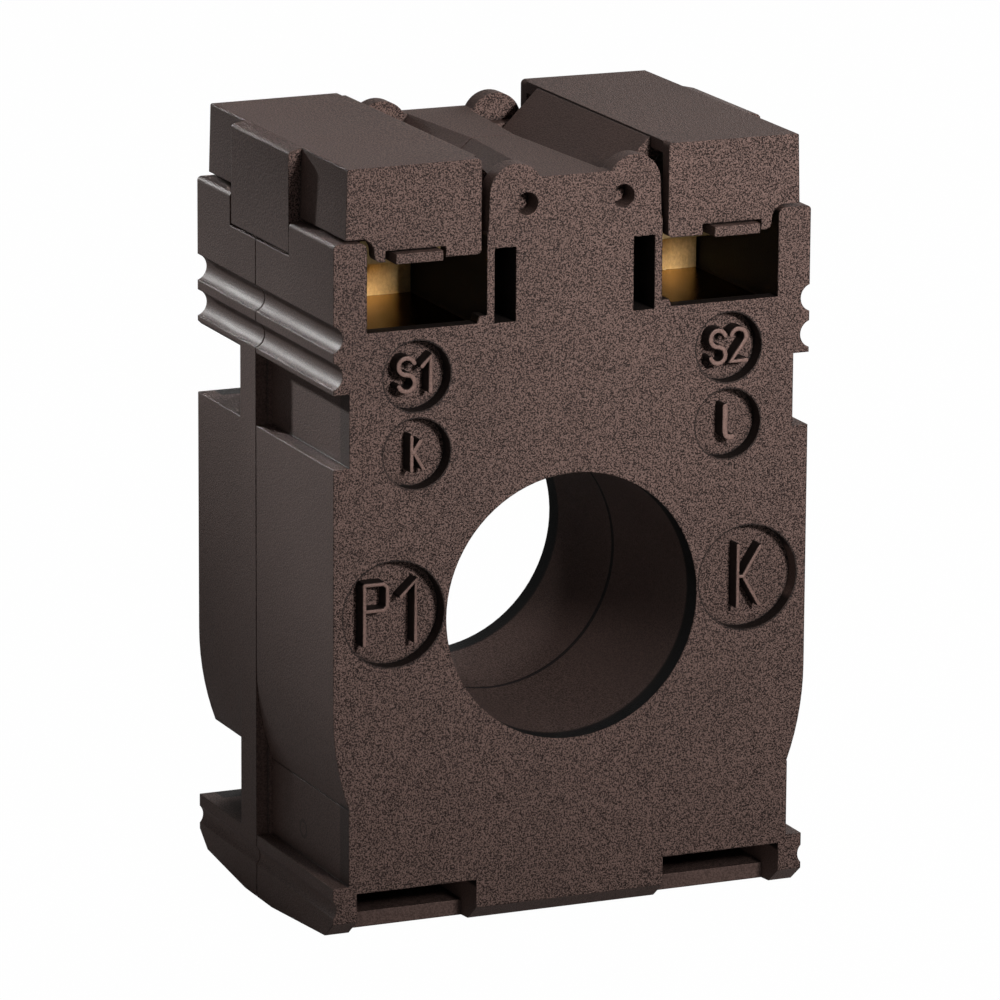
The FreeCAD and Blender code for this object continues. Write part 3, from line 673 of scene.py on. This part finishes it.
# painted shade on faces that look up; the polish below is roughness
colour = dimmed(tree, colour, spread(tree, facing_up, *FLAT_TOP, 1.0, TOP_PAINTED_SHADE))
shine = product(tree, shine, spread(tree, facing_up, *FLAT_TOP, 1.0, TOP_POLISH))
tree.links.new(colour, shader.inputs["Base Color"])
tree.links.new(shine, shader.inputs["Roughness"])
shader.inputs["Specular Tint"].default_value = BRASS_EDGE_TINT
print("brass:", len(tree.nodes), "nodes")

# %% [markdown]
# ## Plating, steel and copper
# The pressure plates are plated yellow, the screws are bright plated steel, the
# core is a dark strip of steel wound up like a tape, and the winding is
# enamelled copper. Each could have a net of its own, but only the colours, the
# direction of the lines and their depth differ, so one function makes all four.

# %% Plating, steel and copper
plating = metal("clamp_plating", light=(0.80, 0.57, 0.28), dark=(0.50, 0.34, 0.16),
                rough=0.36, direction=(1.0, 1.0, 0.6), streak=5200.0, depth=0.04)[0]
steel = metal("screw_steel", light=(0.62, 0.62, 0.60), dark=(0.38, 0.38, 0.36),
              rough=0.28, direction=(1.0, 1.0, 0.3), streak=3000.0, depth=0.02)[0]
strip = metal("core_steel", light=(0.34, 0.35, 0.38), dark=(0.16, 0.17, 0.19),
              rough=0.35, direction=(1.0, 0.05, 1.0), streak=3500.0, depth=0.04)[0]
copper = metal("enamelled_copper", light=(0.62, 0.26, 0.11), dark=(0.34, 0.11, 0.04),
               rough=0.25, direction=(0.05, 1.0, 0.05), streak=2400.0, depth=0.08)[0]
print("metals:", plating.name, steel.name, strip.name, copper.name)

# %% [markdown]
# ## A finish on every solid
# The record names a material slot for each solid. The finish could be set solid
# by solid, but the slot already groups them, so a table of slots is shorter and
# none is forgotten. Covers and pressure plates differ from the other solids of
# their slot, and are picked out by name.

# %% Finish on the solids
FINISH = {
    "housing_plastic": housing_plastic, "terminal_brass": brass, "screw_steel": steel,
    "core_steel": strip, "cap_plastic": nylon, "enamelled_copper": copper, "tape": tape,
    "lead_insulation": insulation,
}

for entry in frame["record"]["subparts"]:
    finish = FINISH[entry["material_slot"]]
    if entry["node"].endswith("_cover"):
        finish = cover_plastic
    elif entry["node"].endswith("_clamp"):
        finish = plating
    solid = nodes[entry["node"]]
    solid.data.materials.clear()
    solid.data.materials.append(finish)
print("finished", len(nodes), "solids")

# %% [markdown]
# ## Strokes of the letters
# Each mark on the housing is a few strokes of one width with round ends, as a
# thin round cutter would leave them in a mould. A text object would bring a
# printed face with thick and thin parts. Here a letter is a list of strokes, and
# a stroke is a line of points in millimetres about the middle of its sunk disc.


# %% Letters
def arc(cx, cz, rx, rz, start, end, steps=10):
    """Points on an ellipse arc, angles in degrees."""
    turns = [math.radians(start + (end - start) * i / steps) for i in range(steps + 1)]
    return [(cx + rx * math.cos(turn), cz + rz * math.sin(turn)) for turn in turns]


def letter_s(left, right, top, low):
    """S from its upper end to its lower end."""
    cx, rx = (left + right) / 2, (right - left) / 2
    rz = (top - low) / 4
    upper = arc(cx, top - rz, rx, rz, 20, 250)
    lower = arc(cx, low + rz, rx, rz, 70, -160)
    return [upper + lower]


def letter_p(left, right, top, middle, low, cut=0.3):
    """P with the corners of its bowl cut off."""
    bowl = [(left, top), (right - cut, top), (right, top - cut), (right, middle + cut),
            (right - cut, middle), (left, middle)]
    return [[(left, low), (left, top)], bowl]


def letter_k(x, top, low, joint, tip, toe):
    """K whose arm and leg meet at a joint beside its stem."""
    return [[(x, low), (x, top)], [(x + 0.1, joint[1]), joint, tip], [joint, toe]]


print("letters: S with", len(letter_s(-1, 1, 1, -1)[0]), "points, P, K")


# %% Digits
def digit_one(x, flag_x, flag_z, top, low):
    """One with its flag."""
    return [[(flag_x, flag_z), (x, top), (x, low)]]


def digit_two(left, right, top, low):
    """Two with a round hook."""
    cx, rx = (left + right) / 2, (right - left) / 2
    hook = arc(cx, top - rx, rx, rx, 165, -30)
    return [hook + [(left, low), (right, low)]]


print("digits: 1, 2")

# %% [markdown]
# ## The marks of the terminals
# P1 and P2 tell which way the current passes the bore, S1 and S2 are the two
# outlets, and K, L, k and l are their older names. Each has the place, the lean
# and the width of stroke that the picture shows, so they are listed one by one.

# %% Glyphs and stroke widths
GLYPHS = {
    "P1": letter_p(-2.53, -0.52, 2.62, 0.42, -2.42) + digit_one(1.98, 0.70, 1.41, 2.63, -2.5),
    "K": letter_k(-0.85, 2.76, -2.5, (-0.35, 0.09), (1.19, 2.53), (1.11, -2.46)),
    "S1": letter_s(-1.6, -0.17, 1.55, -1.24) + digit_one(1.22, 0.49, 0.77, 1.47, -1.34),
    "k": letter_k(-0.42, 1.44, -1.42, (-0.24, 0.14), (0.33, 0.99), (0.63, -1.33)),
    "S2": letter_s(-1.6, -0.25, 1.47, -1.32) + digit_two(0.27, 1.63, 1.49, -1.22),
    "l": [[(-0.21, 1.45), (-0.23, -0.65), (-0.12, -1.0), (0.1, -1.17), (0.45, -1.17)]],
    "P2": letter_p(-2.53, -0.52, 2.62, 0.42, -2.42) + digit_two(0.7, 2.5, 2.63, -2.45),
    "L": [[(-1.0, 2.6), (-1.0, -2.5), (1.2, -2.5)]],
}
WIDTHS = {"P1": 0.20, "K": 0.18, "S1": 0.27, "k": 0.20,
          "S2": 0.27, "l": 0.36, "P2": 0.20, "L": 0.18}
print("glyphs:", ", ".join(GLYPHS))

# %% [markdown]
# ## Outline of a stroke
# A round cutter leaves a band with round ends. A curve with a bevel would make
# one too, but its ends and its flat foot would need repair. Walking down one
# side of the line, round its end, and back on the other side gives an outline
# that a single face can fill.

# %% Outline of a stroke
CAP_TURNS = (-60, -30, 0, 30, 60)
SHARPEST_BEND = 0.6


def sides(points, width):
    """Points to the left and to the right of a line, half the width away."""
    left, right = [], []
    for i, here in enumerate(points):
        before = (here - points[i - 1]).normalized() if i > 0 else None
        after = (points[i + 1] - here).normalized() if i < len(points) - 1 else None
        along = before or after
        if before is not None and after is not None:
            along = (before + after).normalized()
        side = Vector((-along.y, along.x))
        reach = width / 2 / max(SHARPEST_BEND, along.dot(after or before))
        left.append(here + side * reach)
        right.append(here - side * reach)
    return left, right


def round_end(tip, neighbour, width):
    """Points round the end of a stroke."""
    out = (tip - neighbour).normalized() * (width / 2)
    return [tip + Matrix.Rotation(math.radians(turn), 2) @ out for turn in CAP_TURNS]


def stroke_outline(points, width):
    """Outline of a stroke: its right side, an end, its left side, an end."""
    line = [Vector(point) for point in points]
    left, right = sides(line, width)
    far_end = round_end(line[-1], line[-2], width)
    near_end = round_end(line[0], line[1], width)
    return right + far_end + left[::-1] + near_end


print("outline of l:", len(stroke_outline(GLYPHS["l"][0], WIDTHS["l"])), "points")

# %% [markdown]
# ## A raised stroke
# Each stroke stands on the floor of its sunk disc and ends level with the face,
# with a rounded crest. Its outline becomes one face, the extrude operator draws
# it up, and the bevel operator rounds the top, as in the workshop.

# %% Raised stroke
FLANK = 0.07
CREST = 0.11
CREST_SEGMENTS = 2


def raise_stroke(mesh, outline, centre, floor_y, rise, inward):
    """One stroke: its outline as a face on the floor, drawn up and rounded."""
    foot = [mesh.verts.new(((centre[0] + inward * point.x) * MM, floor_y * MM,
                            (centre[1] + point.y) * MM)) for point in outline]
    base = mesh.faces.new(foot)
    drawn = bmesh.ops.extrude_face_region(mesh, geom=[base], use_keep_orig=True)["geom"]
    top = [part for part in drawn if isinstance(part, bmesh.types.BMVert)]
    bmesh.ops.translate(mesh, verts=top, vec=(0.0, -inward * rise * MM, 0.0))
    crest = [part for part in drawn if isinstance(part, bmesh.types.BMFace)][0]
    bmesh.ops.bevel(mesh, geom=list(crest.edges), offset=CREST * MM, offset_type="OFFSET",
                    segments=CREST_SEGMENTS, profile=0.5, affect="EDGES", material=-1,
                    clamp_overlap=True)


print("crest of a stroke rounded by", CREST, "mm")

# %% [markdown]
# ## A mark
# A mark is one piece with all its strokes. They could be joined into one closed
# skin with a boolean, but overlapping strokes look the same and can't fail. Each
# stroke ends a hair lower than the one before, so that no two tops share a plane,
# and its foot sinks a little into the floor.

# %% Mark
DISC_SINK = 1.45
FOOT_SINK = 0.03
STROKE_STEP = 0.01


def make_mark(name, strokes, centre, face_y, inward, width):
    """Raised strokes on the floor of a sunk disc."""
    mesh = bmesh.new()
    floor_y = face_y + inward * (DISC_SINK + FOOT_SINK)
    for index, points in enumerate(strokes):
        outline = stroke_outline(points, width + 2 * FLANK)
        rise = DISC_SINK - STROKE_STEP * index
        raise_stroke(mesh, outline, centre, floor_y, rise, inward)
    bmesh.ops.recalc_face_normals(mesh, faces=mesh.faces)
    data = bpy.data.meshes.new(name)
    mesh.to_mesh(data)
    mesh.free()
    piece = bpy.data.objects.new(name, data)
    bpy.context.scene.collection.objects.link(piece)
    piece.data.materials.append(mark_plastic)
    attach(piece, "housing")
    return piece


print("marks rise", DISC_SINK, "mm from the floor of their discs")

# %% [markdown]
# ## All marks in their places
# Six marks stand on the front and six on the rear. The rear ones are turned half
# round, so that they read right from behind: inward is 1 where the housing
# reaches along +Y from the face, and -1 at the rear.

# %% Marks on both faces
MARKS = (
    ("front_P1", "P1", MARK_LARGE[0], 1), ("front_K", "K", MARK_LARGE[1], 1),
    ("front_S1", "S1", MARK_SMALL[0], 1), ("front_k_small", "k", MARK_SMALL[1], 1),
    ("front_S2", "S2", MARK_SMALL[2], 1), ("front_l_small", "l", MARK_SMALL[3], 1),
    ("rear_L", "L", MARK_LARGE[0], -1), ("rear_P2", "P2", MARK_LARGE[1], -1),
    ("rear_S1", "S1", MARK_SMALL[0], -1), ("rear_k_small", "k", MARK_SMALL[1], -1),
    ("rear_S2", "S2", MARK_SMALL[2], -1), ("rear_l_small", "l", MARK_SMALL[3], -1),
)
faces = 0
for name, glyph, centre, inward in MARKS:
    face_y = FRONT if inward > 0 else REAR
    mark = make_mark("mark_" + name, GLYPHS[glyph], centre, face_y, inward, WIDTHS[glyph])
    faces += len(mark.data.polygons)
print("marks", len(MARKS), "with", faces, "faces")

# %% [markdown]
# ## Lights
# The picture shows an object lit from the front and from above, with a weak gleam
# on its left side. One big soft light would flatten the grain. So small area
# lights with narrow beams light the front, the left side and the covers each on
# their own, and a wide one stands behind for views from the rear.


# %% Lights
def area_light(name, place, aim, size, beam, power):
    """Square light at a place, aimed at a point, with a beam in degrees."""
    data = bpy.data.lights.new(name, "AREA")
    data.shape = "SQUARE"
    data.size = size
    data.spread = math.radians(beam)
    data.energy = power
    lamp = bpy.data.objects.new(name, data)
    bpy.context.scene.collection.objects.link(lamp)
    lamp.location = place
    towards = Vector(aim) - Vector(place)
    lamp.rotation_euler = towards.to_track_quat("-Z", "Y").to_euler()
    lamp.visible_camera = False
    return lamp


lamps = [
    area_light("key", place=(0.0405, -0.3182, 0.1659), aim=(0.014, -0.015, 0.067),
               size=0.05, beam=35.0, power=0.058),
    area_light("side", place=(-0.1671, 0.4791, 0.2065), aim=(-0.036, 0.022, 0.052),
               size=0.02, beam=6.8, power=0.0062),
    area_light("top", place=(-0.004, 0.1878, 0.4152), aim=(-0.004, 0.0, 0.062),
               size=0.1, beam=30.0, power=0.014),
    area_light("fill", place=(-0.3338, -0.3757, 0.0629), aim=(0.0, -0.005, 0.028),
               size=0.2, beam=60.0, power=0.034),
    area_light("back", place=(0.5182, 0.2905, 0.1597), aim=(0.0, 0.015, 0.035),
               size=0.25, beam=90.0, power=0.9),
]
print("lights:", ", ".join(lamp.name for lamp in lamps))

# %% [markdown]
# ## White surroundings
# The background of the picture is pure white, but white light from all sides
# would turn the black housing grey. The Light Path node tells what kind of ray
# asks: the camera sees full white, gloss gets a part, and diffuse light little.

# %% White world
WORLD = 0.012
WORLD_GLOSS = 0.26


def seen_white(tree, gloss):
    """Two values: one for the camera's rays, and the gloss share for mirrored rays."""
    path = tree.nodes.new("ShaderNodeLightPath").outputs
    seen = maths(tree, "MAXIMUM", path["Is Camera Ray"], path["Is Transmission Ray"])
    return seen, product(tree, path["Is Glossy Ray"], gloss)


world = bpy.data.worlds.new("studio")
bpy.context.scene.world = world
world.use_nodes = True
tree = world.node_tree
tree.nodes.clear()
background = tree.nodes.new("ShaderNodeBackground")
background.inputs["Color"].default_value = (1.0, 1.0, 1.0, 1.0)
seen, mirrored = seen_white(tree, WORLD_GLOSS)
strength = maths(tree, "MAXIMUM", maths(tree, "MAXIMUM", seen, mirrored), WORLD)
tree.links.new(strength, background.inputs["Strength"])
out = tree.nodes.new("ShaderNodeOutputWorld")
tree.links.new(background.outputs[0], out.inputs["Surface"])
print("world: diffuse", WORLD, "gloss", WORLD_GLOSS)

# %% [markdown]
# ## White floor
# The object stands on a white table that runs into the background without a
# line, with a faint shadow at its foot. A plain white floor would come out grey
# and light the housing from below. So the floor glows white for the camera, with
# a small share of grey that takes the shadow.

# %% White floor
FLOOR_SIZE = 8.0
FLOOR_DROP = 0.00002
FLOOR_WHITE = 0.992
FLOOR_GLOSS = 0.04
FLOOR_GREY = (0.5, 0.5, 0.5, 1.0)

bpy.ops.mesh.primitive_plane_add(size=FLOOR_SIZE, location=(0.0, 0.0, -FLOOR_DROP))
floor = bpy.context.object
floor.name = "floor"
material = bpy.data.materials.new("floor")
material.use_nodes = True
tree = material.node_tree
tree.nodes.clear()
pale = tree.nodes.new("ShaderNodeBsdfDiffuse")
pale.inputs["Color"].default_value = FLOOR_GREY
glow = tree.nodes.new("ShaderNodeEmission")
glow.inputs["Strength"].default_value = 1.0
seen, mirrored = seen_white(tree, FLOOR_GLOSS)
white = maths(tree, "MAXIMUM", product(tree, seen, FLOOR_WHITE), mirrored)
share = tree.nodes.new("ShaderNodeMixShader")
tree.links.new(white, share.inputs["Fac"])
tree.links.new(pale.outputs[0], share.inputs[1])
tree.links.new(glow.outputs[0], share.inputs[2])
out = tree.nodes.new("ShaderNodeOutputMaterial")
tree.links.new(share.outputs[0], out.inputs["Surface"])
floor.data.materials.append(material)
print("floor", FLOOR_SIZE, "m wide")

# %% [markdown]
# ## Camera at the viewpoint of the picture
# The picture was taken from the left and a little above, with a long lens. The
# camera could be set by eye, but then sizes in the render and the picture would
# never agree. Its place, turn, lens and shift come from a fit to corners of the
# housing that can be found in the picture.

# %% Camera
PLACE = Vector((-0.238961, -0.545411, 0.182281))
AZIMUTH, ELEVATION, ROLL = (math.radians(turn) for turn in (-23.493, 13.747, -0.310))
SENSOR, LENS = 36.0, 263.98
SHIFT_X, SHIFT_Y = 0.0208, -0.0454
NEAREST, FARTHEST = 0.05, 20.0


def camera_turn(azimuth, elevation, roll):
    """Matrix of the camera's right, up and back."""
    back = Vector((math.sin(azimuth) * math.cos(elevation),
                   -math.cos(azimuth) * math.cos(elevation), math.sin(elevation)))
    level = Vector((math.cos(azimuth), math.sin(azimuth), 0.0))
    upward = back.cross(level)
    right = math.cos(roll) * level - math.sin(roll) * upward
    upward = math.sin(roll) * level + math.cos(roll) * upward
    return Matrix((right, upward, back)).transposed().to_4x4()


data = bpy.data.cameras.new("camera")
data.sensor_width = SENSOR
data.lens = LENS
data.shift_x, data.shift_y = SHIFT_X, SHIFT_Y
data.clip_start, data.clip_end = NEAREST, FARTHEST
camera = bpy.data.objects.new("camera", data)
bpy.context.scene.collection.objects.link(camera)
camera.matrix_world = Matrix.Translation(PLACE) @ camera_turn(AZIMUTH, ELEVATION, ROLL)
bpy.context.scene.camera = camera
bpy.context.scene.view_settings.view_transform = "Standard"
print("camera", round(PLACE.length, 3), "m from the foot of the housing")
